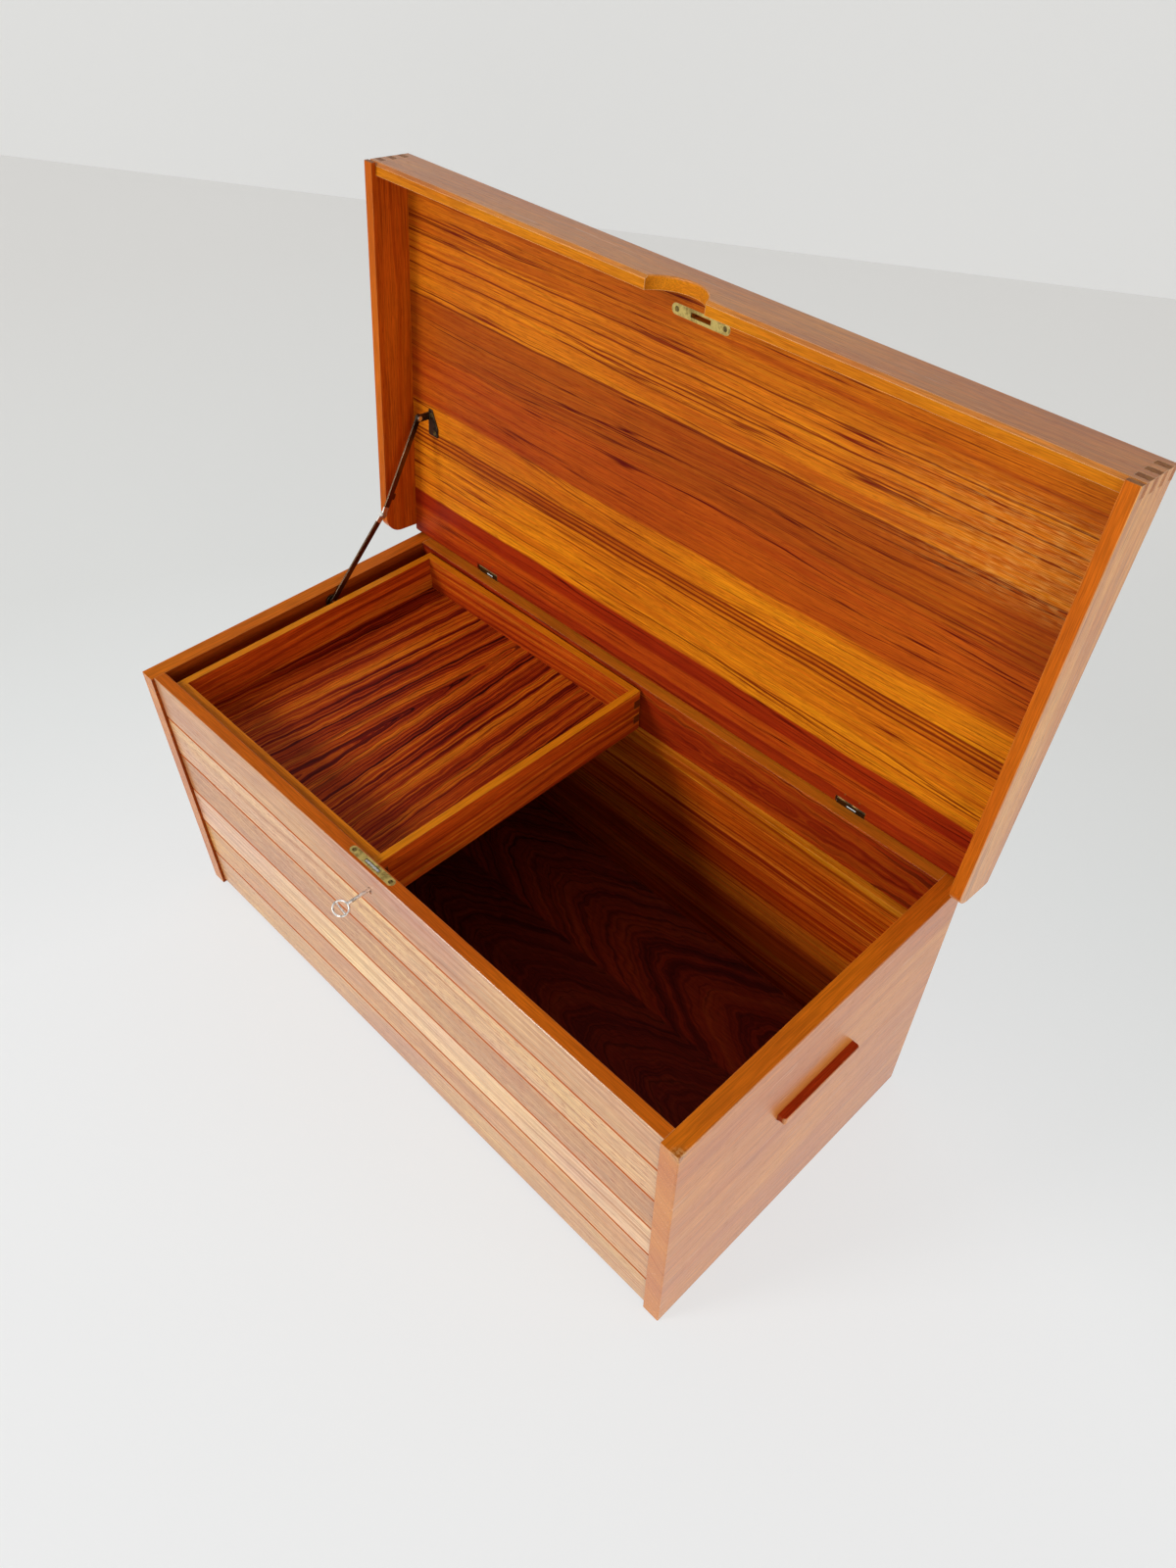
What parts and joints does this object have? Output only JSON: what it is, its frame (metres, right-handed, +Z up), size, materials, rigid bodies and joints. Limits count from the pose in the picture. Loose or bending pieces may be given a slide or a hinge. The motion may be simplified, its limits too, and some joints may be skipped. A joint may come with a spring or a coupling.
{
  "type": "storage chest",
  "caption": "Wooden blanket chest with a cap lid held open by a jointed stay, boarded front, lock with key, grip ledges and a sliding tray",
  "frame": {"origin": "on the floor under the middle of the chest as it stands open", "axes": "+X along the chest to its right as seen from the front, +Y from front to back, +Z up"},
  "size_m": [0.978, 0.5636, 0.9025],
  "materials": {
    "teak_case": "satin oiled",
    "teak_boards": "satin oiled",
    "teak_lid": "satin oiled",
    "teak_tray": "satin oiled",
    "brass": "aged",
    "dark_brass": "tarnished",
    "nickel": "worn nickel plate",
    "steel": "plain"
  },
  "bodies": {
    "case": {"back_panel": "teak_case", "back_rail": "teak_case", "back_tray_runner": "teak_case", "bottom_panel": "teak_case", "front_board_1": "teak_boards", "front_board_2": "teak_boards", "front_board_3": "teak_boards", "front_board_4": "teak_boards", "front_board_5": "teak_boards", "front_board_6": "teak_boards", "front_tray_runner": "teak_case", "hinge_body_screws": "brass", "hinge_left_body_leaf": "brass", "hinge_left_pin": "brass", "hinge_right_body_leaf": "brass", "hinge_right_pin": "brass", "left_grip_ledge": "teak_case", "left_side_panel": "teak_case", "lock_case": "steel", "lock_face_plate": "brass", "lock_plate_screws": "brass", "right_grip_ledge": "teak_case", "right_side_panel": "teak_case", "stay_body_bracket": "dark_brass", "stay_body_rivet": "brass", "stay_body_screws": "brass"},
    "lid": {"hinge_left_lid_leaf": "brass", "hinge_lid_brads": "brass", "hinge_right_lid_leaf": "brass", "keeper_plate": "brass", "keeper_screws": "brass", "lid_front_rail": "teak_lid", "lid_left_rail": "teak_lid", "lid_panel": "teak_lid", "lid_right_rail": "teak_lid", "stay_lid_bracket": "dark_brass", "stay_lid_rivet": "brass", "stay_lid_screws": "brass"},
    "stay_lower": {"stay_lower_arm": "dark_brass", "stay_elbow_rivet_lower": "brass"},
    "stay_upper": {"stay_upper_arm": "dark_brass", "stay_elbow_rivet_upper": "brass"},
    "tray": {"tray_back": "teak_tray", "tray_bottom": "teak_tray", "tray_front": "teak_tray", "tray_left": "teak_tray", "tray_right": "teak_tray"},
    "key": {"key": "nickel"},
    "bolt": {"lock_bolt": "steel"}
  },
  "joints": [
    {"name": "lid_hinge", "type": "hinge", "parent": "case", "child": "lid", "pos_m": [0, 0.223, 0.413], "axis": [1, 0, 0], "range_deg": [0, 96]},
    {"name": "stay_lower_pivot", "type": "hinge", "parent": "case", "child": "stay_lower", "pos_m": [0, 0.03899, 0.388], "axis": [1, 0, 0], "range_deg": [-48.87, 0]},
    {"name": "stay_upper_pivot", "type": "hinge", "parent": "lid", "child": "stay_upper", "pos_m": [0, 0.21737, 0.59861], "axis": [1, 0, 0], "range_deg": [0, 21.39]},
    {"name": "tray_slide", "type": "slide", "parent": "case", "child": "tray", "axis": [1, 0, 0], "range_m": [-0.008, 0.447]},
    {"name": "key_turn", "type": "hinge", "parent": "case", "child": "key", "pos_m": [0, -0.2345, 0.373], "axis": [0, -1, 0], "range_deg": [-66, 98]},
    {"name": "bolt_slide", "type": "slide", "parent": "case", "child": "bolt", "axis": [0, 0, 1], "range_m": [-0.00533, 0.008]}
  ],
  "couplings": [
    {"joint": "stay_lower_pivot", "follows": "lid_hinge", "ratio": -0.50893},
    {"joint": "stay_upper_pivot", "follows": "lid_hinge", "ratio": 0.22274},
    {"joint": "key_turn", "follows": "bolt_slide", "rad_per_m": 196.35}
  ]
}
